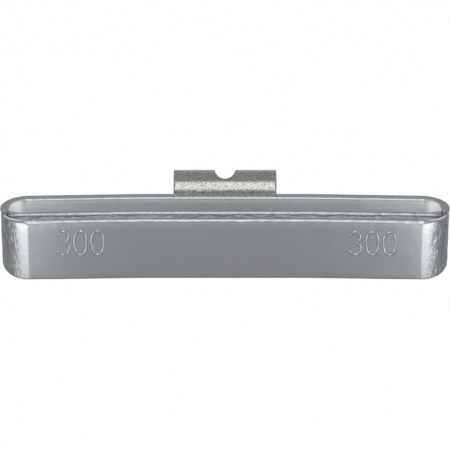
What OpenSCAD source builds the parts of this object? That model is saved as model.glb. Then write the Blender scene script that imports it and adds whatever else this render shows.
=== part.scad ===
// Clip-on balance weight for a truck wheel.
// A zinc bar with full round ends has a cored pocket in its top, between a thick
// numbered front block and a thinner back wall. A spring steel clip is cast into
// the back wall, arches over it and hangs behind it, so that the flange of the
// wheel rim is gripped between the back face and the free leg of the clip.
// X runs along the bar, the numbered face looks to -Y and +Z points out of the wheel.
// The origin lies on the back face, at mid length, level with the top of the back wall.

/* [Bar] */
// Length over the round ends
bar_length = 152; // [120:1:180]
// Depth from the front face to the back face
bar_depth = 18.5; // [17:0.1:22]
// Height of the front face
front_height = 21.7; // [19:0.1:26]
// Radius round the top of the front block
block_edge_r = 0.9; // [0.4:0.1:1.2]
// Radius along the bottom of the front face
foot_edge_r = 0.8; // [0.4:0.1:1.5]
// Rise of the underside from front to back, in degrees
underside_rise = 20; // [10:1:25]
// Radius where the underside turns up into the back face
heel_r = 8; // [4:0.5:9]

/* [Camber] */
// Length of the straight middle stretch
straight_length = 58; // [40:1:80]
// Drop of each end stretch, in degrees
end_drop = 1; // [0.2:0.1:2]

/* [Pocket] */
// Thickness of the front block, from the front face to the pocket
block_depth = 6; // [4:0.1:6.5]
// Thickness of the back wall
back_wall = 3.1; // [2.8:0.1:4]
// Thickness of the wall at each end of the pocket
end_wall = 3.1; // [2:0.1:4]
// Height of the back wall above the front block
wall_rise = 1.3; // [0.8:0.05:2]
// Depth of the pocket below the top of the back wall
pocket_depth = 6.1; // [5:0.1:8]
// Radius of the pocket corners beside the front block
pocket_front_r = 3.25; // [2:0.05:4]
// Radius round the top edges of the back wall and the pocket
wall_edge_r = 0.5; // [0.3:0.05:0.6]

/* [Clip] */
// Width of the steel strip
clip_width = 35; // [28:0.1:38]
// Thickness of the steel strip
clip_thickness = 1.5; // [1.2:0.1:1.8]
// Thickness of casting in front of the strip
clip_cover = 0.5; // [0.4:0.05:0.6]
// Depth to which the strip is cast in
anchor_depth = 11; // [10:0.5:12]
// Diameter of the holes that the casting flows through
anchor_hole_d = 5; // [3:0.5:6]
// Distance between those holes
anchor_hole_pitch = 18; // [14:1:20]
// Depth of the middle of those holes in the casting
anchor_hole_depth = 7; // [6:0.5:7]
// Forward lean of the strip where it leaves the casting, in degrees
clip_lean = 10; // [4:1:14]
// Middle radius of the short bend that gives that lean
neck_r = 3; // [2:0.5:5]
// Straight rise between that bend and the big one
clip_rise = 0.9; // [0.3:0.1:3]
// Outer radius of the bend over the rim flange
bend_r = 5.5; // [5:0.05:7]
// Length of the free leg behind the flange
leg_length = 7; // [5:0.5:9]
// Inward lean of the free leg, in degrees
leg_lean = 8; // [3:1:10]
// Middle radius of the flared tip
tip_r = 3; // [2.5:0.5:4]
// Outward turn of the tip from straight down, in degrees
tip_flare = 35; // [15:5:45]
// Corner radius of the tip
tip_corner_r = 3; // [1:0.5:4]
// Width of the slot for the removal tool
slot_width = 7; // [5:0.1:8]
// Depth of that slot below the crown of the bend
slot_depth = 3.1; // [2.5:0.1:3.4]
// Tilt of the slot towards the front, in degrees
slot_tilt = 25; // [20:1:30]

/* [Hidden] */
$fn = 96;

casting_colour = [0.56, 0.58, 0.6];
clip_colour = [0.52, 0.51, 0.49];

// Spare length that lets a cutting shape run past the surface that it cuts
spare = 5;

end_r = bar_depth / 2;
end_x = bar_length / 2 - end_r;
front_y = -bar_depth;
block_top = -wall_rise;
foot_z = block_top - front_height;
joint_x = straight_length / 2;
camber = (bar_length / 2 - joint_x) * tan(end_drop);

pocket_front_y = front_y + block_depth;
pocket_back_y = -back_wall;
pocket_back_r = pocket_back_y - pocket_front_y - pocket_front_r;
pocket_side_y = pocket_back_y - pocket_back_r;
pocket_back_x = bar_length / 2 - end_wall - pocket_back_r;
pocket_front_x = bar_length / 2 - end_wall - pocket_front_r;
wall_end_y = pocket_front_y + wall_edge_r;

// The strip follows a chain of stretches: [length] runs straight on, and
// [middle radius, turn] bends, with a positive turn towards the front.
strip_y = -back_wall + clip_cover + clip_thickness / 2;
strip_chain = [
    [anchor_depth - neck_r * sin(clip_lean)],
    [neck_r, clip_lean],
    [clip_rise],
    [bend_r - clip_thickness / 2, -(clip_lean + 180 + leg_lean)],
    [leg_length],
    [tip_r, leg_lean + tip_flare]
];
bend_step = 4;
strip_poses = chain_poses([strip_y, -anchor_depth, 0], strip_chain, 0);
bend_centre = bend_centre_of(strip_poses[3], strip_chain[3]);
tip_z = strip_poses[6][1];

// A point on a turning stretch, where a pose [y, z, heading] starts out from the centre
function centre_of_turn(pose, r) = [pose[0] - r * cos(pose[2]), pose[1] - r * sin(pose[2])];

// Where a bend turns round, seen from the pose that it starts from
function bend_centre_of(pose, bend) = centre_of_turn(pose, sign(bend[1]) * bend[0]);

// The pose after a turn of some degrees
function turned_pose(pose, bend, turn) =
    let (r = sign(bend[1]) * bend[0], heading = pose[2] + turn)
    concat(centre_of_turn([each bend_centre_of(pose, bend), heading], -r), [heading]);

// The pose at the end of any stretch
function next_pose(pose, stretch) =
    len(stretch) == 1
        ? [pose[0] - stretch[0] * sin(pose[2]), pose[1] + stretch[0] * cos(pose[2]), pose[2]]
        : turned_pose(pose, stretch, stretch[1]);

// The poses at the start of every stretch and at the end of the last
function chain_poses(pose, chain, step) =
    step == len(chain)
        ? [pose]
        : concat([pose], chain_poses(next_pose(pose, chain[step]), chain, step + 1));

// The poses along one stretch, a bend being split into short flats
function stretch_poses(pose, stretch) =
    let (flats = len(stretch) == 1 ? 1 : ceil(abs(stretch[1]) / bend_step))
    [for (i = [0:flats - 1]) i == 0 ? pose : turned_pose(pose, stretch, stretch[1] * i / flats)];

// A point beside a pose, on the front (1) or the back (-1) of the strip
function beside(pose, side) = centre_of_turn(pose, side * clip_thickness / 2);

// Turns a profile drawn in Y and Z into a prism that runs along X
module along_x(from_x, to_x) {
    translate([from_x, 0, 0])
        rotate([90, 0, 90])
            linear_extrude(to_x - from_x)
                children();
}

// Places a piece of the right end stretch at the right (0) or the left (1), dropped
module end_stretch(side) {
    mirror([side, 0, 0])
        translate([joint_x, 0, 0])
            rotate([0, end_drop, 0])
                translate([-joint_x, 0, 0])
                    children();
}

// What a shape has in common with itself along both dropped end stretches
module cambered() {
    intersection() {
        children();
        end_stretch(0)
            children();
        end_stretch(1)
            children();
    }
}

// Half of the section of a bar with rounded top edges, from its middle to its side
module half_section(top, edge_r) {
    bottom = foot_z - 2 * spare;
    translate([0, bottom])
        square([end_r, top - edge_r - bottom]);
    translate([0, top - 2 * edge_r])
        square([end_r - edge_r, 2 * edge_r]);
    translate([end_r - edge_r, top - edge_r])
        circle(edge_r);
}

// Long bar with rounded top edges, from the left up to a given x
module long_bar(to_x, top, edge_r) {
    along_x(-bar_length, to_x) {
        half_section(top, edge_r);
        mirror([1, 0])
            half_section(top, edge_r);
    }
}

// Bar of which the right end is full round and its top edge rounded all the way
module round_ended_bar(top, edge_r) {
    long_bar(end_x, top, edge_r);
    translate([end_x, 0, 0])
        rotate([0, 0, -90])
            rotate_extrude(angle = 180)
                half_section(top, edge_r);
}

// What the straight middle and both dropped end stretches have in common
module cambered_bar(top, edge_r) {
    intersection() {
        translate([0, -end_r, 0])
            long_bar(bar_length, top, edge_r);
        end_stretch(0)
            translate([0, -end_r, 0])
                round_ended_bar(top, edge_r);
        end_stretch(1)
            translate([0, -end_r, 0])
                round_ended_bar(top, edge_r);
    }
}

// Side view of what is cut away below the rising underside and behind the round heel
module undercut_profile() {
    steep = tan(underside_rise);
    slant = 1 / cos(underside_rise);
    foot_c = [front_y + foot_edge_r, foot_z + foot_edge_r * (steep + slant)];
    heel_c = [-heel_r, foot_z + (bar_depth - heel_r) * steep + heel_r * slant];
    down = [sin(underside_rise), -cos(underside_rise)];
    low = foot_z - 3 * spare;
    difference() {
        polygon([
            [front_y - spare, low],
            [spare, low],
            [spare, heel_c[1]],
            heel_c,
            heel_c + heel_r * down,
            foot_c + foot_edge_r * down,
            foot_c,
            [front_y - spare, foot_c[1]]
        ]);
        translate(foot_c)
            circle(foot_edge_r);
        translate(heel_c)
            circle(heel_r);
    }
}

// What is cut away below the underside, all along the cambered bar
module undercut() {
    cambered()
        along_x(-bar_length, bar_length)
            undercut_profile();
}

// Outline from above of the pocket up to its right end, open to the left
module pocket_outline() {
    translate([-bar_length, pocket_front_y])
        square([bar_length + pocket_back_x, pocket_back_y - pocket_front_y]);
    translate([-bar_length, pocket_front_y])
        square([bar_length + pocket_front_x, pocket_front_r]);
    translate([pocket_back_x, pocket_side_y])
        intersection() {
            circle(pocket_back_r);
            square(pocket_back_r);
        }
    translate([pocket_front_x, pocket_side_y])
        circle(pocket_front_r);
}

// Section of what rounds an edge over in short flats: x runs from the wall into the
// metal and y is up
module round_over() {
    overlap = wall_edge_r / 2;
    arc = [for (angle = [90:30:180]) wall_edge_r * [1 + cos(angle), sin(angle) - 1]];
    polygon(concat(arc, [
        [-overlap, -wall_edge_r],
        [-overlap, overlap],
        [wall_edge_r, overlap]
    ]));
}

// Rounds both long edges of the pocket's mouth
module long_mouth(from_x, back_x, front_x) {
    along_x(from_x, back_x)
        translate([pocket_back_y, 0])
            round_over();
    along_x(from_x, front_x)
        translate([pocket_front_y, block_top])
            mirror([1, 0])
                round_over();
}

// Rounds the mouth round the pocket's right end
module end_mouth() {
    translate([pocket_back_x, pocket_side_y, 0])
        rotate_extrude(angle = 90)
            translate([pocket_back_r, 0])
                round_over();
    translate([pocket_front_x, pocket_side_y, 0])
        rotate([0, 0, -90])
            rotate_extrude(angle = 90)
                translate([pocket_front_r, 0])
                    round_over();
}

// Upright walls of the pocket round its right end, open to the left
module pocket_shaft() {
    translate([0, 0, -bar_depth])
        linear_extrude(2 * bar_depth)
            pocket_outline();
}

// Everything below the floor of the pocket
module below_floor() {
    translate([-bar_length, -bar_length, -pocket_depth - bar_length])
        cube([2 * bar_length, 2 * bar_length, bar_length]);
}

// The cored pocket with its rounded mouth
module pocket() {
    middle_x = joint_x + spare;
    difference() {
        intersection() {
            end_stretch(0)
                pocket_shaft();
            end_stretch(1)
                pocket_shaft();
        }
        cambered()
            below_floor();
    }
    long_mouth(-middle_x, middle_x, middle_x);
    for (side = [0, 1])
        end_stretch(side) {
            long_mouth(0, pocket_back_x, pocket_front_x);
            end_mouth();
        }
}

// The raised back wall, which runs round both ends into the pocket's front corners
module raised_wall() {
    intersection() {
        cambered_bar(0, wall_edge_r);
        translate([-bar_length, wall_end_y, block_top - block_edge_r - camber - wall_edge_r])
            cube(2 * bar_length);
    }
}

// The bent strip with its full width, before it is pierced and trimmed
module bent_strip() {
    last = len(strip_chain);
    poses = [
        for (i = [0:last - 1])
            each stretch_poses(strip_poses[i], strip_chain[i]),
        strip_poses[last]
    ];
    along_x(-clip_width / 2, clip_width / 2)
        polygon(concat(
            [for (i = [0:len(poses) - 1]) beside(poses[i], 1)],
            [for (i = [len(poses) - 1:-1:0]) beside(poses[i], -1)]
        ));
}

// Holes in the cast-in leg that lock the strip into the casting
module anchor_holes() {
    for (side = [-1, 1])
        translate([side * anchor_hole_pitch / 2, strip_y, -anchor_hole_depth])
            rotate([90, 0, 0])
                cylinder(h = 2 * clip_thickness, d = anchor_hole_d, center = true);
}

// Round-ended slot across the crown of the bend
module tool_slot() {
    translate([0, bend_centre[0], bend_centre[1]])
        rotate([-slot_tilt, 0, 0])
            translate([0, 0, bend_r - slot_depth + slot_width / 2])
                rotate([90, 0, 0])
                    cylinder(h = 6 * bend_r, d = slot_width, center = true);
}

// What lies outside the rounded corners of the tip
module tip_corners() {
    for (side = [0, 1])
        mirror([side, 0, 0])
            translate([clip_width / 2 - tip_corner_r, bend_centre[0] + 3 * bend_r, tip_z + tip_corner_r])
                rotate([90, 0, 0])
                    linear_extrude(3 * bend_r)
                        difference() {
                            translate([0, -tip_corner_r - spare])
                                square(tip_corner_r + spare);
                            circle(tip_corner_r);
                        }
}

module cast_body() {
    color(casting_colour)
        difference() {
            union() {
                cambered_bar(block_top, block_edge_r);
                raised_wall();
            }
            pocket();
            undercut();
            difference() {
                bent_strip();
                anchor_holes();
            }
        }
}

module steel_clip() {
    color(clip_colour)
        difference() {
            bent_strip();
            anchor_holes();
            tool_slot();
            tip_corners();
        }
}

cast_body();
steel_clip();
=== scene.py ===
import math

import bmesh
import bpy
import numpy as np
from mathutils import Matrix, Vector, noise


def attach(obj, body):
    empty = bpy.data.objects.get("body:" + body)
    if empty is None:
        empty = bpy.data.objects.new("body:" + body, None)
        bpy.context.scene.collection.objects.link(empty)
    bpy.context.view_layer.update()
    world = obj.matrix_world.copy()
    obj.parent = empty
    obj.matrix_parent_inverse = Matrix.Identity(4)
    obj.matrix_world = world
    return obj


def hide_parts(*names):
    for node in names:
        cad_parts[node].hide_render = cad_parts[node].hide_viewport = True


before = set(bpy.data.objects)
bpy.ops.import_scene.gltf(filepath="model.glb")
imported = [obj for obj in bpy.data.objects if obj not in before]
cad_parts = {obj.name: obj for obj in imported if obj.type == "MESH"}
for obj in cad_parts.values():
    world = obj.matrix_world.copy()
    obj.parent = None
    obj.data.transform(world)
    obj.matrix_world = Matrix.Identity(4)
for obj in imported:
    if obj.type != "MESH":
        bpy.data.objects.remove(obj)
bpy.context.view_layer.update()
mm = 0.001


def smoothStep(value, low, high):
    # 0 below low, 1 above high and a soft rise between them
    t = np.clip((np.asarray(value, float) - low) / (high - low), 0, 1)
    return t * t * (3 - 2 * t)


def wobble(x, y, z, seed, octaves=3, fade=0.5, finer=2.1):
    # soft noise from about -1 to 1 that never repeats over the part
    total, size, scale = 0.0, 1.0, 1.0
    for _ in range(octaves):
        total += size * noise.noise(Vector((x * scale + seed, y * scale - seed, z * scale)))
        size *= fade
        scale *= finer
    return total


def resampled(points, count):
    # evenly spread points along a line
    steps = np.r_[0, np.cumsum(np.linalg.norm(np.diff(points, axis=0), axis=1))]
    want = np.linspace(0, steps[-1], count)
    return np.stack([np.interp(want, steps, points[:, k]) for k in range(points.shape[1])], 1)


def meshPiece(name, points, faces, uvs=None):
    # points in millimetres, uvs one pair per corner of each face
    mesh = bpy.data.meshes.new(name)
    mesh.from_pydata([tuple(p * mm) for p in np.asarray(points, float)], [], faces)
    if uvs is not None:
        layer = mesh.uv_layers.new(name="skin")
        layer.data.foreach_set("uv", np.asarray(uvs, np.float32).ravel())
    mesh.validate()
    shape = bmesh.new()
    shape.from_mesh(mesh)
    if shape.calc_volume(signed=True) < 0:
        bmesh.ops.reverse_faces(shape, faces=shape.faces)
    shape.to_mesh(mesh)
    shape.free()
    mesh.polygons.foreach_set("use_smooth", [True] * len(mesh.polygons))
    piece = bpy.data.objects.new(name, mesh)
    bpy.context.scene.collection.objects.link(piece)
    return piece


class Wire:
    # a socket that can be used in sums
    def __init__(self, finish, socket):
        self.finish, self.socket = finish, socket

    def maths(self, operation, *values):
        return self.finish.add("ShaderNodeMath", {"operation": operation}, dict(enumerate(values)))

    def __add__(self, other):
        return self.maths("ADD", self, other)

    def __radd__(self, other):
        return self.maths("ADD", other, self)

    def __sub__(self, other):
        return self.maths("SUBTRACT", self, other)

    def __rsub__(self, other):
        return self.maths("SUBTRACT", other, self)

    def __mul__(self, other):
        return self.maths("MULTIPLY", self, other)

    def __rmul__(self, other):
        return self.maths("MULTIPLY", other, self)

    def __truediv__(self, other):
        return self.maths("DIVIDE", self, other)

    def __rtruediv__(self, other):
        return self.maths("DIVIDE", other, self)


class Finish:
    # one node tree, filled by add
    def __init__(self, owner):
        owner.use_nodes = True
        self.tree = owner.node_tree
        self.tree.nodes.clear()

    def add(self, kind, settings=None, inputs=None, output=0):
        node = self.tree.nodes.new(kind)
        for key, value in (settings or {}).items():
            if key == "stops":
                self.setStops(node.color_ramp, value)
            else:
                setattr(node, key, value)
        for key, value in (inputs or {}).items():
            if isinstance(value, Wire):
                self.tree.links.new(value.socket, node.inputs[key])
            else:
                node.inputs[key].default_value = value
        return Wire(self, node.outputs[output]) if node.outputs else None

    def setStops(self, ramp, stops):
        while len(ramp.elements) > 1:
            ramp.elements.remove(ramp.elements[-1])
        for i, (place, shade) in enumerate(stops):
            stop = ramp.elements[0] if i == 0 else ramp.elements.new(place)
            stop.position = place
            stop.color = (shade, shade, shade, 1)

    def blend(self, factor, first, second):
        # colours mixed by a mask
        first, second = ((*c, 1) if isinstance(c, tuple) else c for c in (first, second))
        return self.add("ShaderNodeMix", {"data_type": "RGBA"}, {0: factor, 6: first, 7: second}, 2)

    def ramp(self, factor, *stops):
        return self.add("ShaderNodeValToRGB", {"stops": stops}, {0: factor})

    def place(self, source, scale, turn=(0, 0, 0)):
        return self.add("ShaderNodeMapping", None, {"Vector": source, "Rotation": turn, "Scale": scale})

    def grain(self, source, scale, detail, rough):
        return self.add("ShaderNodeTexNoise", None,
                        {"Vector": source, "Scale": scale, "Detail": detail, "Roughness": rough})

    def bump(self, height, strength, distance, under=None):
        values = {"Height": height, "Strength": strength, "Distance": distance}
        if under is not None:
            values["Normal"] = under
        return self.add("ShaderNodeBump", None, values)


# the photograph's camera, in mm and degrees; lift moves the picture's middle up the part
view = {
    "target": (0, -9.25, -8), "distance": 862.3, "elevation": 24.71, "lift": 0.44,
    "lens": 203.4, "sensor": 36, "near": 0.01,
}


def addCamera():
    tilt = math.radians(view["elevation"])
    away = Vector((0, -math.cos(tilt), math.sin(tilt)))
    up = Vector((0, math.sin(tilt), math.cos(tilt)))
    data = bpy.data.cameras.new("camera")
    data.lens, data.sensor_width, data.clip_start = view["lens"], view["sensor"], view["near"]
    camera = bpy.data.objects.new("camera", data)
    aim = (Vector(view["target"]) + up * view["lift"]) * mm
    camera.location = aim + away * view["distance"] * mm
    camera.rotation_euler = (math.radians(90) - tilt, 0, 0)
    bpy.context.scene.collection.objects.link(camera)
    bpy.context.scene.camera = camera


addCamera()
print("camera set")

# the zinc bar, in mm and degrees
bar = {
    "length": 152.0, "depth": 18.5, "frontHeight": 21.85, "rise": 20.0, "heel": 8.0, "foot": 0.25,
    "straight": 58.0, "drop": 1.0, "dropSoft": 4.0,
    "block": 6.0, "wall": 3.1, "endWall": 3.1, "step": 1.3, "stepBack": 0.3, "pocket": 6.1,
    "corner": 3.25, "tightCorner": 0.9, "draft": 14.0, "endDraft": 22.0, "blockDraft": 2.0,
    "draftTurn": (0.1, 0.9),  # how far the pocket's wall faces back where its draft changes
    # radii of the edges; the mouth's gets smaller round the ends by a share
    "wallEdge": 0.22, "blockEdge": 0.36, "rimEdge": 0.24, "floorEdge": 0.9,
    "mouthEdge": 0.6, "mouthShare": 0.6,
    # height of the rims and of the sunken ledge over the block's top, and how wide the rims are
    "rearRim": 0.56, "frontRim": 0.18, "channel": -0.26, "rearRimWidth": 0.28, "frontRimWidth": 0.32,
    # burrs on the rims: their height, its even and its uneven share
    "lip": 0.10, "rearLip": (0.8, 0.35), "frontLip": (0.6, 0.8),
    # along x, where the raised wall starts to come round the pocket's ends, and where it is complete
    "climb": (68.6, 73.0),
    # the step down to the ledge: softness, least distance to either rim, half width and what the block adds
    "stepSoft": 0.15, "stepIn": 0.35, "stepRear": 0.34, "stepFront": 0.5, "stepHalf": 0.10, "stepWiden": 0.12,
    # lumps on the ledge, which fade at its front, its rear and its ends, and stronger ones at a scar
    "lumps": 0.22, "lumpsFront": (0.2, 0.8), "lumpsRear": 1.1, "lumpsEnd": (64, 70),
    "scar": -36.0, "scarReach": 6, "scarRimReach": 4, "scarRim": 0.35,
    # the mouth and the outline sway a little; the front leans out below its rim
    "sway": 0.09, "swayRise": 6, "swayCalm": 0.75, "outlineSway": 0.6, "inset": 0.03,
    "swell": 0.23, "swellMore": 0.9, "swellEnd": (52, 66), "swellFade": 0.75,
    # the faint crease at the start of each round end
    "crease": 0.14, "creaseLead": 0.4, "creaseReach": 1.4, "creaseBack": (-9, 0), "creaseBelow": (0, 1.5),
    # worn skin round the ends: slanting streaks and pits
    "wear": 0.3, "wearFrom": (68.3, 71.3), "wearBelow": (0.2, 2.0), "wearSlant": (0.86, 0.5),
    "streaks": 0.35, "pits": 1.3, "pitLevel": 0.25, "wearMore": 0.12,
    # noise: scale along and across, level and seed
    "noise": {
        "mouth": (0.35, 0.35, 3.1, 11), "outline": (0.4, 0.4, 7.7, 23), "rearLip": (0.22, 0.22, 1.3, 31),
        "frontLip": (0.28, 0.28, 5.3, 43), "ledge": (0.26, 0.75, 2.0, 57), "scarRim": (0.7, 0, 4.0, 17),
        "leftStreaks": (0.55, 0.16, 1.7, 71), "rightStreaks": (0.55, 0.16, 1.7, 80),
        "leftPits": (0.8, 0.35, 8.1, 91), "rightPits": (0.8, 0.35, 8.1, 98),
    },
    # columns along the front, the back and each round end, from one angle to the next
    "frontColumns": 381, "backColumns": 301, "endColumns": ((-90, -28, 44), (-28, -10, 31), (-10, 90, 55)),
    # rows: shares along the pocket's floor and wall, degrees round its edges, counts across the top
    "floorRows": (0, 0.35, 0.7, 1), "floorTurn": (30, 60, 90), "wallRows": (0.25, 0.5, 0.7, 0.85, 1),
    "crestTurn": (15, 30, 45, 60, 75, 90), "sideRows": 5, "stepShares": (-1 / 3, 1 / 3),
    "ledgeRows": 12, "ledgeSpread": 0.8, "edgeTurn": (0, 13, 26, 39, 52, 65, 78, 90),
    # rows down the outside: below the rim, down the face, round the foot and along the underside
    "outsideRows": (9, 16, 9, 15), "rimSpan": 2.2, "footSpan": 0.7, "outsideStart": 0.12,
    "outsidePoints": (40, 50, 240), "plainRows": 8,
    # how far the outline's last column lies from its first, and a hair that settles equal depths
    "seam": 0.4, "hair": 0.01,
}
uvUnit = 100  # mm of skin to one unit of its UV map
endR = bar["depth"] / 2
endX = bar["length"] / 2 - endR
frontY = -bar["depth"]
blockTop = -bar["step"]
footZ = blockTop - bar["frontHeight"]
pocketFront = frontY + bar["block"]
pocketBack = -bar["wall"]
pocketR = pocketBack - pocketFront - bar["corner"]
pocketSide = pocketBack - pocketR
pocketX = bar["length"] / 2 - bar["endWall"] - pocketR
stepY = pocketFront + bar["stepBack"]


def ripple(kind, x, y, octaves=3):
    along, across, level, seed = bar["noise"][kind]
    return wobble(x * along, y * across, level, seed, octaves)


def lipHeight(kind, x, y):
    even, uneven = bar[kind]
    return bar["lip"] * (even + uneven * ripple(kind, x, y))


def droop(x):
    # the bar bends down a little towards its ends
    slope = math.tan(math.radians(bar["drop"]))
    past = np.abs(x) - bar["straight"] / 2
    soft = bar["dropSoft"]
    return slope * np.where(past > soft, past, np.where(past > -soft, (past + soft) ** 2 / (4 * soft), 0))


def underside(y):
    # height of the underside at a depth y, round at the heel and at the foot
    rise = math.radians(bar["rise"])
    slope, slant, lean = math.tan(rise), 1 / math.cos(rise), math.sin(rise)
    y = np.clip(np.asarray(y, float), frontY, 0)
    z = footZ + (y - frontY) * slope
    for radius, centreY, inside in (
        (bar["heel"], -bar["heel"], y > -bar["heel"] * (1 - lean)),
        (bar["foot"], frontY + bar["foot"], y < frontY + bar["foot"] * (1 + lean)),
    ):
        centreZ = footZ + (centreY - frontY) * slope + radius * slant
        arc = centreZ - np.sqrt(np.maximum(radius ** 2 - (y - centreY) ** 2, 0))
        z = np.where(inside, arc, z)
    return z


def barColumns():
    # one row per column round the bar: outer x, y, outward x, y, pocket x, y, inward x, y
    frontX = np.linspace(-endX, endX, bar["frontColumns"])[:-1]
    backX = np.linspace(endX, -endX, bar["backColumns"])
    rows = [(x, frontY, 0, -1, x, pocketFront, 0, 1) for x in frontX]
    r = bar["tightCorner"]
    cornerX = pocketX + pocketR - r
    flat = cornerX - endX
    bend = math.pi / 2 * r
    side = pocketSide - pocketFront - r
    rightEnd = []
    for a in np.concatenate([np.linspace(*stretch)[:-1] for stretch in bar["endColumns"]]):
        c, s = math.cos(math.radians(a)), math.sin(math.radians(a))
        along = (a + 90) / 90 * (flat + bend + side)
        b = -math.pi / 2 + (along - flat) / r
        if a >= 0:
            inner = (pocketX + pocketR * c, pocketSide + pocketR * s, -c, -s)
        elif along < flat:
            inner = (endX + along, pocketFront, 0, 1)
        elif b < 0:
            inner = (cornerX + r * math.cos(b), pocketFront + r + r * math.sin(b), -math.cos(b), -math.sin(b))
        else:
            inner = (cornerX + r, pocketFront + along - flat - bend + r, -1, 0)
        rightEnd.append((endX + endR * c, -endR + endR * s, c, s, *inner))
    rows += rightEnd
    rows += [(x, 0, 0, 1, x * pocketX / endX, pocketBack, 0, -1) for x in backX]
    rows += [(-x, y, -nx, ny, -ix, iy, -mx, my) for x, y, nx, ny, ix, iy, mx, my in rightEnd[:0:-1]]
    return np.array(rows)


def pocketRows(mouth, away, sway, rim, edge, draft):
    # from the middle of the pocket's floor up to the crest of its mouth, which sways a little
    lean = math.tan(math.radians(draft))
    base = -bar["pocket"]
    r = bar["floorEdge"]
    wallTop, wallBase = rim - edge, base + r
    foot = mouth + away * lean * (wallTop - wallBase)
    flatEnd = foot + away * r
    middle = np.array([np.clip(mouth[0], -pocketX, pocketX), (pocketFront + pocketBack) / 2])
    rows = [(*(middle + (flatEnd - middle) * t), base) for t in bar["floorRows"]]
    for a in bar["floorTurn"]:
        p = flatEnd - away * r * math.sin(math.radians(a))
        rows.append((*p, base + r * (1 - math.cos(math.radians(a)))))
    for t in bar["wallRows"]:
        p = foot + (mouth - foot) * t + away * sway * t ** bar["swayRise"]
        rows.append((*p, wallBase + (wallTop - wallBase) * t))
    for a in bar["crestTurn"]:
        p = mouth + away * (sway - edge * (1 - math.cos(math.radians(a))))
        rows.append((*p, wallTop + edge * math.sin(math.radians(a))))
    return rows


def topRows(inner, outer, rimIn, rimOut, low, high, onBlock):
    # across the top: the raised side, the step down and the rough ledge to the outer edge
    wide = np.linalg.norm(outer - inner)
    if outer[1] > stepY:
        at = wide - bar["stepIn"]
    elif inner[1] > stepY:
        at = wide * (inner[1] - stepY) / (inner[1] - outer[1])
    else:
        at = 0.0
    at = float(np.clip(at, bar["stepRear"], wide - bar["stepFront"]))
    half = bar["stepHalf"] + bar["stepWiden"] * onBlock
    spots = list(np.linspace(0, at - half, bar["sideRows"] + 1)[1:])
    spots += [at + half * t for t in bar["stepShares"]]
    rest = np.linspace(0, 1, bar["ledgeRows"] + 1)[:-1] ** bar["ledgeSpread"]
    spots += list(at + half + (wide - at - half) * rest)
    rows = []
    for d in spots:
        p = inner + (outer - inner) * d / wide
        back = wide - d
        fall = float(smoothStep(d, at - half, at + half))
        z = high + (rimIn - high) * math.exp(-(d / bar["rearRimWidth"]) ** 2)
        floor = low + (rimOut - low) * math.exp(-(back / bar["frontRimWidth"]) ** 2)
        scar = math.exp(-((p[0] - bar["scar"]) / bar["scarReach"]) ** 2)
        rough = ripple("ledge", p[0], p[1]) * bar["lumps"] * onBlock * (1 + scar)
        rough *= 1 - float(smoothStep(abs(p[0]), *bar["lumpsEnd"]))
        rough *= float(smoothStep(back, *bar["lumpsFront"]))
        rough *= float(smoothStep(d, at + half, at + half + bar["lumpsRear"]))
        rows.append((*p, z + (floor + rough - z) * fall))
    return rows


def outsideLine(wallY, inwardY, span, startZ):
    # outer wall and underside as one line, in depth from the outline and height
    wallPoints, underPoints, allPoints = bar["outsidePoints"]
    d = span * (1 - np.cos(np.linspace(0, math.pi / 2, underPoints)))
    under = underside(wallY + inwardY * d)
    startZ = startZ - bar["outsideStart"]
    dense = resampled(np.vstack([
        np.stack([np.zeros(wallPoints), np.linspace(startZ, under[0], wallPoints)], 1),
        np.stack([d[1:], under[1:]], 1),
    ]), allPoints)
    soft = dense.copy()
    soft[1:-1] = (dense[1:-1] + (dense[:-2] + dense[2:])) / 3
    steps = np.r_[0, np.cumsum(np.linalg.norm(np.diff(soft, axis=0), axis=1))]
    corner = startZ - under[0]
    stops = (0, bar["rimSpan"], corner - bar["footSpan"], corner + bar["footSpan"], steps[-1])
    parts = [np.linspace(a, b, count) for a, b, count in zip(stops, stops[1:], bar["outsideRows"])]
    want = np.concatenate([part[:-1] for part in parts[:-1]] + parts[-1:])
    return zip(np.interp(want, steps, soft[:, 0]), np.interp(want, steps, soft[:, 1]))


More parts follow.
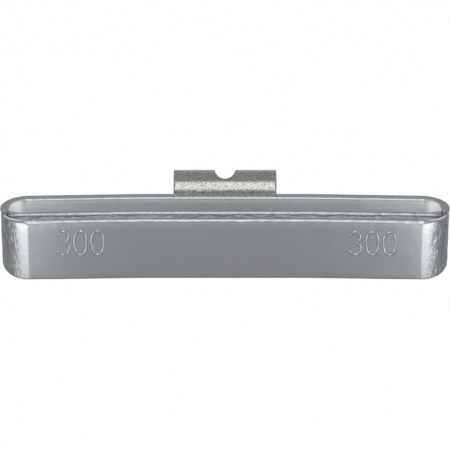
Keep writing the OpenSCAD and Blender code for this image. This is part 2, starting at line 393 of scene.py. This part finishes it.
def barProfile(column):
    # one section of the skin, from the pocket's middle over the top and the outside to below the middle
    ox, oy, nx, ny, ix, iy, mx, my = column
    out, away = np.array([nx, ny]), np.array([mx, my])
    swayIn = bar["sway"] * ripple("mouth", ix, iy)
    swayOut = bar["sway"] * bar["outlineSway"] * ripple("outline", ox, oy) - bar["inset"]
    past = max(0.0, abs(ox) - endX)
    turned = math.atan2(past, -oy - endR) * endR if past > 0 else 0.0
    turned += float(np.clip(abs(ox) - endX + bar["creaseLead"], 0, bar["creaseLead"]))
    crease = bar["crease"] * (1 - math.exp(-turned / bar["creaseReach"]))
    crease *= 1 - float(smoothStep(oy, *bar["creaseBack"]))
    # onBlock is 1 on the front block, climb is 1 where the pocket has the raised wall
    onBlock = 1 - float(smoothStep(oy, stepY - bar["stepSoft"], stepY + bar["stepSoft"]))
    frontSide = 1.0 if iy < pocketSide - bar["hair"] else 0.0
    climb = 1 - frontSide * (1 - float(smoothStep(abs(ix), *bar["climb"])))
    high = (blockTop + bar["rearRim"]) * (1 - climb)
    scar = math.exp(-((ix - bar["scar"]) / bar["scarRimReach"]) ** 2) * (1 - climb)
    rimIn = high + lipHeight("rearLip", ix, iy) + bar["scarRim"] * scar * ripple("scarRim", ix, iy)
    mouthEdge = bar["mouthEdge"] * (1 - bar["mouthShare"] * abs(mx))
    rimEdge = bar["rimEdge"] + (mouthEdge - bar["rimEdge"]) * climb
    draft = bar["draft"] + (bar["endDraft"] - bar["draft"]) * abs(mx)
    draft += (bar["blockDraft"] - draft) * float(smoothStep(my, *bar["draftTurn"]))
    swayIn *= 1 - bar["swayCalm"] * climb
    mouth = np.array([ix, iy])
    rows = pocketRows(mouth, away, swayIn, rimIn, rimEdge, draft)
    edge = bar["wallEdge"] + (bar["blockEdge"] - bar["wallEdge"]) * onBlock
    swell = bar["swell"] * onBlock * (1 + bar["swellMore"] * float(smoothStep(abs(ox), *bar["swellEnd"])))
    outer = np.array([ox, oy]) + out * (swayOut - edge - swell)
    rimOut = (blockTop + bar["frontRim"] + lipHeight("frontLip", ox, oy)) * onBlock
    low = (blockTop + bar["channel"]) * onBlock
    rows += topRows(mouth + away * (swayIn - rimEdge), outer, rimIn, rimOut, low, high, onBlock)
    for a in bar["edgeTurn"]:
        p = outer + out * edge * math.sin(math.radians(a))
        rows.append((*p, rimOut - edge * (1 - math.cos(math.radians(a)))))
    startZ = rimOut - edge
    face = outer + out * edge
    inward = np.array([np.clip(ox, -endX, endX), -endR]) - face
    span = np.linalg.norm(inward)
    inward = inward / span
    # the back wall runs straight down into the heel, whatever its rim does
    wallY = face[1] - out[1] * swayOut * (1 - onBlock)
    for d, z in outsideLine(wallY, inward[1], span, startZ):
        below = startZ - z
        back = (swayOut - swell) * math.exp(-max(below, 0) / bar["swellFade"])
        creased = crease * float(smoothStep(below, *bar["creaseBelow"]))
        rows.append((*(face + inward * d - out * (swayOut - swell - back + creased)), z))
    return rows


def wearEnds(grid, columns, rows):
    # worn, pitted skin round both ends
    slantCos, slantSin = bar["wearSlant"]
    for column, (ox, oy, nx, ny) in zip(grid, columns[:, :4]):
        reach = float(smoothStep(abs(ox), *bar["wearFrom"]))
        if reach <= 0:
            continue
        side = "right" if ox > 0 else "left"
        arc = math.atan2(oy + endR, abs(ox) - endX) * endR
        top = column[rows.start, 2]
        for point in column[rows]:
            z = point[2]
            across, along = arc * slantCos + z * slantSin, z * slantCos - arc * slantSin
            streak = ripple(side + "Streaks", across, along)
            pit = max(0.0, ripple(side + "Pits", across, along, 2) - bar["pitLevel"])
            depth = bar["streaks"] * streak - bar["pits"] * pit - bar["wearMore"]
            depth *= bar["wear"] * reach * float(smoothStep(top - z, *bar["wearBelow"]))
            point[:2] += np.array([nx, ny]) * min(depth, 0.0)


# masks for the finish and for its painted light and shade, row by row or by height
mask = {
    # painted light in the pocket, from the middle of its floor up its wall, and its crest's share in the
    # pocket
    "paintedLight": (1, 1, 1, 1, 1, 1, 1, 1, 0.72, 0.34, 0.08, 0, 0.1, 0.25, 0.3, 0.2), "crestShare": 0.5,
    # the raised side lies above wallBase; painted shade lies on the rim beside the ledge, between it and
    # rimBase
    "wallBase": -0.6, "rimBase": -1.5, "rimShade": 1.5, "topLap": 4,
    "ledgeTop": -1.25, "ledgeEnd": 72,
    # a painted highlight on the front rim where it follows the round ends
    "shine": 0.4, "shineReach": 2.5, "shineBack": 2,
    # painted shade on the foot, in rows down the outside
    "footRows": (22, 24, 27, 31), "foot": (0, 0.8, 1, 0),
}


def finishMasks(grid, columns, crestRow, topRow, edgeRow, outsideRow):
    n, m = grid.shape[:2]
    high, row = grid[:, :, 2], np.arange(m)
    paintedLight = np.tile(np.r_[mask["paintedLight"], np.zeros(m - len(mask["paintedLight"]))], (n, 1))
    paintedLight[(high < mask["wallBase"]) & (row >= crestRow)] = 0
    pocket = np.tile(np.r_[np.ones(crestRow), mask["crestShare"], np.zeros(m - crestRow - 1)], (n, 1))
    onTop = (row >= topRow) & (row < edgeRow + mask["topLap"])
    rim = (high < mask["wallBase"]) & (high > mask["rimBase"]) & (row >= crestRow) & (row <= outsideRow)
    # crown carries painted shade on the top of the raised side and on the rim beside the ledge
    crown = np.where(rim, mask["rimShade"], (high > mask["wallBase"]) & onTop)
    shine = smoothStep(np.abs(columns[:, 0]), endX, endX + mask["shineReach"])
    shine = (shine * smoothStep(stepY - columns[:, 1], 0, mask["shineBack"]))[:, None]
    # painted highlight on the front rim round the ends, and less painted shade there
    paintedLight[:, edgeRow + 1:outsideRow] += mask["shine"] * shine
    crown[:, edgeRow + 1:outsideRow] *= 1 - shine
    ledge = (high < mask["ledgeTop"]) & onTop & (np.abs(grid[:, :, 0]) < mask["ledgeEnd"])
    # painted shade round the foot
    foot = np.tile(np.interp(row, np.array(mask["footRows"]) + outsideRow, mask["foot"]), n)
    return {"paintedLight": paintedLight, "pocket": pocket, "crown": crown, "ledge": ledge, "foot": foot}


def barMesh():
    columns = barColumns()
    grid = np.array([barProfile(column) for column in columns])
    n, m = grid.shape[:2]
    # first rows of the mouth's crest, of the top, of the rounded outer edge and of the outside
    crestRow = len(bar["floorRows"]) + len(bar["floorTurn"]) + len(bar["wallRows"])
    topRow = crestRow + len(bar["crestTurn"])
    edgeRow = topRow + bar["sideRows"] + len(bar["stepShares"]) + bar["ledgeRows"]
    outsideRow = edgeRow + len(bar["edgeTurn"])
    wearEnds(grid, columns, slice(outsideRow + 1, m - bar["plainRows"]))
    masks = finishMasks(grid, columns, crestRow, topRow, edgeRow, outsideRow)
    grid[:, :, 2] -= droop(grid[:, :, 0])
    around = np.r_[0, np.cumsum(np.hypot(np.diff(columns[:, 0]), np.diff(columns[:, 1])))]
    around = np.r_[around, around[-1] + bar["seam"]]
    down = np.r_[0, np.cumsum(np.linalg.norm(np.diff(grid[0], axis=0), axis=1))]
    faces, uvs = [], []
    for i in range(n):
        for j in range(m - 1):
            corners = ((i, j), (i, j + 1), (i + 1, j + 1), (i + 1, j))
            faces.append(tuple(a % n * m + b for a, b in corners))
            uvs += [(around[a], down[b]) for a, b in corners]
    piece = meshPiece("bar_skin", grid.reshape(-1, 3), faces, np.array(uvs) / uvUnit)
    for key, values in masks.items():
        attribute = piece.data.attributes.new(key, "FLOAT", "POINT")
        attribute.data.foreach_set("value", np.ravel(values) * 1.0)
    return piece


barSkin = barMesh()
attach(barSkin, "root")
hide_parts("cast_body")
print("bar made:", len(barSkin.data.polygons), "faces")

# the raised numerals: left and right x, top and bottom z of each group, and the stroke
numeral = {
    "left": (-57.0, -40.35, -4.78, -14.42), "right": (41.3, 57.9, -5.04, -14.45),
    "stroke": 0.98, "height": 0.27, "sunk": 0.05, "crown": 0.9, "endFall": 0.8,
    # width of a group in numerals, and where the middle numeral stands
    "spread": 3.28, "middle": 1.64, "squareness": 2.3,
    # bowls of the three: shift, lift, half width and half height as shares of half a numeral, first and
    # last angle, points drawn and points kept
    "bowls": ((-0.02, 0.50, 0.86, 0.50, 160, -75, 28, 44), (0, -0.475, 0.98, 0.525, 72, -160, 30, 48)),
    "zeroPoints": 72, "sectionPoints": 9, "endCaps": (0.35, 0.7, 0.95),
}


def zeroPath(cx, cz, w, h):
    # a slightly squared ellipse
    a = np.linspace(0, 2 * math.pi, numeral["zeroPoints"] + 1)[:-1]
    c, s = np.cos(a), np.sin(a)
    p = 2 / numeral["squareness"]
    return np.stack([cx + w * np.sign(c) * np.abs(c) ** p, cz + h * np.sign(s) * np.abs(s) ** p], 1)


def threePaths(cx, cz, w, h):
    paths = []
    for shift, lift, wide, tall, first, last, drawn, kept in numeral["bowls"]:
        t = np.radians(np.linspace(first, last, drawn))
        bowl = np.stack([cx + shift * w + w * wide * np.cos(t), cz + lift * h + h * tall * np.sin(t)], 1)
        paths.append(resampled(bowl, kept))
    return paths


def ridge(points, faces, path, closed):
    # a low rounded ridge on the front face along a path of x and z
    section = np.linspace(-1, 1, numeral["sectionPoints"])
    nextOne, lastOne = np.roll(path, -1, 0), np.roll(path, 1, 0)
    if not closed:
        nextOne[-1] = path[-1] + (path[-1] - path[-2])
        lastOne[0] = path[0] - (path[1] - path[0])
    along = nextOne - lastOne
    along /= np.linalg.norm(along, axis=1)[:, None]
    side = np.stack([-along[:, 1], along[:, 0]], 1)
    half = numeral["stroke"] / 2
    rings = [(centre, across, 1.0) for centre, across in zip(path, side)]
    if not closed:
        for t in numeral["endCaps"]:
            s = math.sqrt(1 - t * t)
            rings.insert(0, (path[0] - along[0] * half * t, side[0], s))
            rings.append((path[-1] + along[-1] * half * t, side[-1], s))
    start = len(points)
    for centre, across, size in rings:
        for q in section:
            x, z = centre + across * half * q * size
            rise = -numeral["sunk"]
            if abs(q) < 1:
                crown = math.cos(q * math.pi / 2) ** numeral["crown"]
                rise = numeral["height"] * crown * size ** numeral["endFall"]
            points.append((x, frontY - rise, z))
    count, m = len(rings), len(section)
    for i in range(count if closed else count - 1):
        a, b = start + i * m, start + (i + 1) % count * m
        faces += [(a + j, a + j + 1, b + j + 1, b + j) for j in range(m - 1)]


def numeralMesh():
    points, faces = [], []
    for side in ("left", "right"):
        x0, x1, top, low = numeral[side]
        half = numeral["stroke"] / 2
        wide = (x1 - x0) / numeral["spread"]
        w, h = wide / 2 - half, (top - low) / 2 - half
        cz = (top + low) / 2
        for path in threePaths(x0 + wide / 2, cz, w, h):
            ridge(points, faces, path, False)
        ridge(points, faces, zeroPath(x0 + wide * numeral["middle"], cz, w, h), True)
        ridge(points, faces, zeroPath(x1 - wide / 2, cz, w, h), True)
    points = np.array(points)
    points[:, 2] -= droop(points[:, 0])
    return meshPiece("mass_numerals", points, faces)


numerals = numeralMesh()
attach(numerals, "root")
print("numerals made:", len(numerals.data.polygons), "faces")

# the spring clip, in mm and degrees
clip = {
    "width": 35.0, "thick": 1.5, "cover": 0.5, "anchor": 11.0, "lean": 10.0, "neck": 3.0, "rise": 0.9,
    "bend": 5.5, "leg": 7.0, "legLean": 8.0, "tip": 3.0, "flare": 35.0, "tipCorner": 3.0, "edge": 0.3,
    "slotWidth": 7.0, "slotDepth": 3.1, "slotTilt": 25.0, "slotCut": 33,
    "holeWidth": 5.0, "holePitch": 18.0, "holeDepth": 7.0, "holeCut": 3,
    "acrossPoints": 71, "step": 0.5, "turnStep": 2.5, "sharpFrom": 40,
}
stripY = -bar["wall"] + clip["cover"] + clip["thick"] / 2


def clipLine():
    # y, z and heading along the middle of the strip, and the centre of the big bend
    y, z, heading = stripY, -clip["anchor"], 0.0
    line, centres = [(y, z, heading)], []
    stretches = [
        (clip["anchor"] - clip["neck"] * math.sin(math.radians(clip["lean"])), None),
        (clip["neck"], clip["lean"]),
        (clip["rise"], None),
        (clip["bend"] - clip["thick"] / 2, -(clip["lean"] + 180 + clip["legLean"])),
        (clip["leg"], None),
        (clip["tip"], clip["legLean"] + clip["flare"]),
    ]
    for size, turn in stretches:
        if turn is None:
            steps = max(2, int(size / clip["step"]))
            for _ in range(steps):
                y -= size / steps * math.sin(math.radians(heading))
                z += size / steps * math.cos(math.radians(heading))
                line.append((y, z, heading))
            continue
        r = math.copysign(size, turn)
        cy = y - r * math.cos(math.radians(heading))
        cz = z - r * math.sin(math.radians(heading))
        centres.append((cy, cz))
        steps = max(3, int(abs(turn) / clip["turnStep"]))
        start = heading
        for k in range(1, steps + 1):
            heading = start + turn * k / steps
            y = cy + r * math.cos(math.radians(heading))
            z = cz + r * math.sin(math.radians(heading))
            line.append((y, z, heading))
    return np.array(line), centres[1]


def stripSection():
    # across the strip's width and through its thickness, with rolled edges
    half, thick, e = clip["width"] / 2, clip["thick"] / 2, clip["edge"]
    section = []
    for side in (1, -1):
        flat = side * (half - e)
        section += [(x, side * thick) for x in np.linspace(-flat, flat, clip["acrossPoints"])]
        for a, face in ((30, 1), (60, 1), (90, 1), (90, -1), (60, -1), (30, -1)):
            s, c = math.sin(math.radians(a)), math.cos(math.radians(a))
            section.append((side * (half - e + e * s), side * face * (thick - e + e * c)))
    return np.array(section)


def cutter(name, place, tilt, radius, length, sides=96):
    # a round bar along y, tilted about x
    a = np.linspace(0, 2 * math.pi, sides + 1)[:-1]
    ring = np.stack([radius * np.cos(a), np.zeros(sides), radius * np.sin(a)], 1)
    x, y, z = np.vstack([ring - (0, length / 2, 0), ring + (0, length / 2, 0)]).T
    c, s = math.cos(math.radians(tilt)), math.sin(math.radians(tilt))
    faces = [tuple(range(sides))[::-1], tuple(range(sides, 2 * sides))]
    faces += [(k, (k + 1) % sides, (k + 1) % sides + sides, k + sides) for k in range(sides)]
    return meshPiece(name, np.stack([x, y * c + z * s, -y * s + z * c], 1) + place, faces)


def pierce(strip, tools):
    # cuts the tools out of the strip and takes them away
    for tool in tools:
        cut = strip.modifiers.new("cut", "BOOLEAN")
        cut.operation, cut.solver, cut.object = "DIFFERENCE", "EXACT", tool
    bpy.context.view_layer.update()
    graph = bpy.context.evaluated_depsgraph_get()
    done = bpy.data.meshes.new_from_object(strip.evaluated_get(graph))
    strip.modifiers.clear()
    strip.data = done
    for tool in tools:
        bpy.data.objects.remove(tool)
    done.polygons.foreach_set("use_smooth", [True] * len(done.polygons))
    done.set_sharp_from_angle(angle=math.radians(clip["sharpFrom"]))


def clipMesh():
    line, centre = clipLine()
    section = stripSection()
    steps = np.r_[0, np.cumsum(np.hypot(np.diff(line[:, 0]), np.diff(line[:, 1])))]
    half, corner, m = clip["width"] / 2, clip["tipCorner"], len(section)
    points, faces, uvs = [], [], []
    for (y, z, heading), left in zip(line, steps[-1] - steps):
        # the tip's corners are round
        narrow = corner - math.sqrt(max(corner ** 2 - max(corner - left, 0) ** 2, 0)) if left < corner else 0
        c, s = math.cos(math.radians(heading)), math.sin(math.radians(heading))
        points += [(x * (half - narrow) / half, y - q * c, z - q * s) for x, q in section]
    for i in range(len(line) - 1):
        for j in range(m):
            k = (j + 1) % m
            faces.append((i * m + j, i * m + k, (i + 1) * m + k, (i + 1) * m + j))
            a, b = section[j][0], section[k][0]
            uvs += [(a, steps[i]), (b, steps[i]), (b, steps[i + 1]), (a, steps[i + 1])]
    faces.append(tuple(range(m))[::-1])
    faces.append(tuple((len(line) - 1) * m + j for j in range(m)))
    uvs += [(p[0], 0) for p in section[::-1]] + [(p[0], steps[-1]) for p in section]
    strip = meshPiece("clip_strip", points, faces, np.array(uvs) / uvUnit)
    lift = clip["bend"] - clip["slotDepth"] + clip["slotWidth"] / 2
    tilt = math.radians(clip["slotTilt"])
    place = (0, centre[0] + lift * math.sin(tilt), centre[1] + lift * math.cos(tilt))
    tools = [cutter("slot_cutter", place, clip["slotTilt"], clip["slotWidth"] / 2, clip["slotCut"])]
    for side in (-1, 1):
        place = (side * clip["holePitch"] / 2, stripY, -clip["holeDepth"])
        tools.append(cutter("hole_cutter", place, 0, clip["holeWidth"] / 2, clip["holeCut"]))
    pierce(strip, tools)
    return strip


strip = clipMesh()
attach(strip, "root")
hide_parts("steel_clip")
print("clip made:", len(strip.data.polygons), "faces")

# zinc as cast: grains are scale, detail and roughness of a noise, bumps are strength and depth in metres
zinc = {
    "colour": (0.207, 0.217, 0.226), "dark": (0.142, 0.151, 0.159), "pale": (0.25, 0.262, 0.272),
    "polished": (0.36, 0.37, 0.38), "ledge": (0.36, 0.375, 0.386),
    # pale colours for painted light in the pocket and a painted highlight at its ends
    "inside": (0.42, 0.436, 0.449), "paintedEndHighlight": (0.82, 0.83, 0.84),
    "metal": 0.85, "insideMetal": 0.2, "rough": 0.23, "roughSpread": 0.05, "topRough": 0.08,
    "cloud": (60, 3, 0.55), "cloudShare": 0.4, "polish": 0.08,
    "speck": (1400, 2, 0.6), "speckRamp": ((0.30, 1), (0.46, 0)), "speckShare": 0.35,
    "speckBump": (0.06, 0.0001),
    "orange": (520, 3, 0.55), "orangeBump": (0.10, 0.0002),
    # streaks round the ends, which start at a distance from the middle
    "streaks": (1.0, 5, 0.62), "streakScale": (60, 22, 1), "streakTurn": (0, 0, 0.6),
    "streakRamp": ((0.40, 1), (0.52, 0)), "streakShare": 0.45, "streakBump": (0.8, 0.0007),
    "endFrom": 0.068, "endWide": 0.005,
    # painted shade on the top of the raised side and on the foot, the lumpy ledge, and painted light in the
    # pocket with a painted highlight towards its ends
    "topShade": 0.6, "footShade": 0.7, "lumps": (900, 3, 0.6), "lumpScale": (0.6, 1.6, 1),
    "lumpRamp": ((0.3, 0.2), (0.7, 1)), "nearFrom": 0.010, "nearWide": 0.063,
    "nearRamp": ((0, 0), (0.33, 0.08), (0.55, 0.12), (0.921, 0.38), (0.955, 1)),
}


def zincFinish(name, wearAndPaintedLight):
    # true for the bar's own skin, which has wear streaks and also painted light and shade from the masks that
    # its mesh carries
    material = bpy.data.materials.new(name)
    f = Finish(material)
    coord = f.add("ShaderNodeTexCoord", output=3)
    cloud, speck, orange = (f.grain(coord, *zinc[key]) for key in ("cloud", "speck", "orange"))
    shade = f.blend(cloud * zinc["cloudShare"], zinc["colour"], zinc["pale"])
    shade = f.blend(f.ramp(speck, *zinc["speckRamp"]) * zinc["speckShare"], shade, zinc["dark"])
    roughness = zinc["rough"] + (cloud - 0.5) * zinc["roughSpread"]
    normal = f.bump(orange, *zinc["orangeBump"])
    normal = f.bump(speck, *zinc["speckBump"], normal)
    metal = zinc["metal"]
    if wearAndPaintedLight:
        skin = f.add("ShaderNodeUVMap", {"uv_map": "skin"})
        parts = f.add("ShaderNodeSeparateXYZ", None, {0: coord})
        away = f.add("ShaderNodeMath", {"operation": "ABSOLUTE"}, {0: parts})
        atEnd = f.ramp((away - zinc["endFrom"]) / zinc["endWide"], (0, 0), (1, 1))
        streaks = f.grain(f.place(skin, zinc["streakScale"], zinc["streakTurn"]), *zinc["streaks"])
        normal = f.bump(streaks * atEnd, *zinc["streakBump"], normal)
        worked = f.ramp(streaks, *zinc["streakRamp"]) * atEnd
        shade = f.blend(worked * zinc["streakShare"], shade, zinc["dark"])
        paintedLight, pocket, crown, ledge, foot = (
            f.add("ShaderNodeAttribute", {"attribute_name": key}, output=2)
            for key in ("paintedLight", "pocket", "crown", "ledge", "foot"))
        # painted shade on the tops and round the foot
        shade = f.blend(crown * zinc["topShade"] + foot * zinc["footShade"], shade, zinc["dark"])
        lumps = f.grain(f.place(coord, zinc["lumpScale"]), *zinc["lumps"])
        shade = f.blend(ledge * f.ramp(lumps, *zinc["lumpRamp"]), shade, zinc["ledge"])
        # painted light in the pocket, and a painted highlight at its ends and on the front rim round the ends
        nearEnd = f.ramp((away - zinc["nearFrom"]) / zinc["nearWide"], *zinc["nearRamp"])
        inside = f.blend(nearEnd, zinc["inside"], zinc["paintedEndHighlight"])
        shade = f.blend(paintedLight + nearEnd * pocket, shade, inside)
        roughness = roughness + crown * zinc["topRough"]
        metal = zinc["metal"] + pocket * (zinc["insideMetal"] - zinc["metal"])
    else:
        shade = f.blend(zinc["polish"], shade, zinc["polished"])
    surface = f.add("ShaderNodeBsdfPrincipled", None, {
        "Base Color": shade, "Metallic": metal, "Roughness": roughness, "Normal": normal,
    })
    f.add("ShaderNodeOutputMaterial", None, {0: surface})
    return material


# dull spring steel with dark and pale specks, and painted light on the strip's lower band where it leaves the
# casting
steel = {
    "colour": (0.195, 0.190, 0.178), "dark": (0.085, 0.082, 0.076), "pale": (0.33, 0.322, 0.305),
    "metal": 0.8, "rough": 0.24, "roughSpread": 0.06,
    "speck": (1900, 2, 0.6), "speckBump": (0.14, 0.0001), "patch": (260, 3, 0.6), "patchBump": (0.12, 0.0003),
    "darkRamp": ((0.34, 1), (0.50, 0)), "darkShare": 0.75,
    "paleRamp": ((0.52, 0), (0.66, 1)), "paleShare": 0.5,
    # painted light on the strip's root: how much it brightens the steel, up to which height and back to which
    # depth it goes, and its ragged edge
    "paintedRootLight": 3.4, "paintedRootHeight": 0.0031, "paintedRootBack": 0.0015,
    "paintedRootEdge": 0.5, "paintedRootRamp": ((0.45, 1), (0.85, 0)),
}


def steelFinish():
    material = bpy.data.materials.new("spring_steel")
    f = Finish(material)
    coord = f.add("ShaderNodeTexCoord", output=3)
    speck, patch = f.grain(coord, *steel["speck"]), f.grain(coord, *steel["patch"])
    shade = f.blend(f.ramp(speck, *steel["darkRamp"]) * steel["darkShare"], steel["colour"], steel["dark"])
    shade = f.blend(f.ramp(speck, *steel["paleRamp"]) * steel["paleShare"], shade, steel["pale"])
    depth, height = (f.add("ShaderNodeSeparateXYZ", None, {0: coord}, k) for k in (1, 2))
    front = f.add("ShaderNodeMath", {"operation": "LESS_THAN"}, {0: depth, 1: steel["paintedRootBack"]})
    paintedRootLight = f.add("ShaderNodeVectorMath", {"operation": "SCALE"}, {0: shade, "Scale": steel["paintedRootLight"]})
    ragged = height / steel["paintedRootHeight"] + (patch - 0.5) * steel["paintedRootEdge"]
    # painted light on the strip's lower band, near the casting
    shade = f.blend(f.ramp(ragged, *steel["paintedRootRamp"]) * front, shade, paintedRootLight)
    roughness = steel["rough"] + (patch - 0.5) * steel["roughSpread"]
    normal = f.bump(patch, *steel["patchBump"])
    normal = f.bump(speck, *steel["speckBump"], normal)
    surface = f.add("ShaderNodeBsdfPrincipled", None, {
        "Base Color": shade, "Metallic": steel["metal"], "Roughness": roughness, "Normal": normal,
    })
    f.add("ShaderNodeOutputMaterial", None, {0: surface})
    return material


barSkin.data.materials.append(zincFinish("zinc_skin", True))
numerals.data.materials.append(zincFinish("zinc_numerals", False))
strip.data.materials.clear()
strip.data.materials.append(steelFinish())
print("finishes made")

# the floor lies far below, so that the bar mirrors what the photograph's bar does
studio = {"floor": -250.0, "floorSize": 6000.0, "grey": 0.5, "shadow": 0.99, "mirrored": 0.4, "world": 0.75}
lamps = {
    # x and y of the left and of the right edge, bottom and top height in mm, radiance
    "leftCard": (-300, -205, -95, -245, -130, -40, 4.6),
    "rightCard": (95, -245, 300, -205, -130, -40, 4.6),
    "frontCard": (-200, -1100, 200, -1100, -60, 1500, 3.8),
    "lowCard": (-250, -500, 250, -500, -222, -80, 0.5),
    "leftBox": (-800, 650, -650, -250, 40, 600, 0.4),
    "rightBox": (650, -250, 800, 650, 40, 600, 0.4),
}


def addLamp(name, x0, y0, x1, y1, low, high, radiance):
    data = bpy.data.lights.new(name, "AREA")
    data.shape = "RECTANGLE"
    data.size, data.size_y = math.hypot(x1 - x0, y1 - y0) * mm, (high - low) * mm
    data.energy = radiance * math.pi * data.size * data.size_y
    lamp = bpy.data.objects.new(name, data)
    lamp.location = Vector(((x0 + x1) / 2, (y0 + y1) / 2, (low + high) / 2)) * mm
    # a lamp shines along its own -Z, here turned to look along +Y first
    lamp.rotation_euler = (math.radians(90), 0, math.atan2(y1 - y0, x1 - x0))
    lamp.visible_camera = False
    bpy.context.scene.collection.objects.link(lamp)


def rays(f):
    return (f.add("ShaderNodeLightPath", output=key)
            for key in ("Is Camera Ray", "Is Glossy Ray", "Is Transmission Ray"))


def addFloor():
    size = studio["floorSize"] / 2
    corners = [(x * size, y * size, studio["floor"]) for x, y in ((-1, -1), (1, -1), (1, 1), (-1, 1))]
    floor = meshPiece("floor", corners, [(0, 1, 2, 3)])
    material = bpy.data.materials.new("pale_floor")
    f = Finish(material)
    camera, glossy, clear = rays(f)
    seen = camera * studio["shadow"] + (glossy + clear) * studio["mirrored"]
    pale = f.add("ShaderNodeBsdfDiffuse", None, {"Color": (studio["grey"],) * 3 + (1,)})
    white = f.add("ShaderNodeEmission", None, {"Color": (1, 1, 1, 1), "Strength": 1.0})
    surface = f.add("ShaderNodeMixShader", None, {0: seen, 1: pale, 2: white})
    f.add("ShaderNodeOutputMaterial", None, {0: surface})
    floor.data.materials.append(material)


def addWorld():
    world = bpy.data.worlds.new("studio")
    bpy.context.scene.world = world
    f = Finish(world)
    camera, glossy, clear = rays(f)
    light = f.add("ShaderNodeBackground", None, {"Color": (1, 1, 1, 1), "Strength": studio["world"]})
    white = f.add("ShaderNodeBackground", None, {"Color": (1, 1, 1, 1), "Strength": 1.0})
    surface = f.add("ShaderNodeMixShader", None, {0: camera + glossy + clear, 1: light, 2: white})
    f.add("ShaderNodeOutputWorld", None, {0: surface})


addFloor()
addWorld()
for name, values in lamps.items():
    addLamp(name, *values)
bpy.context.scene.view_settings.view_transform = "Standard"
print("studio set")
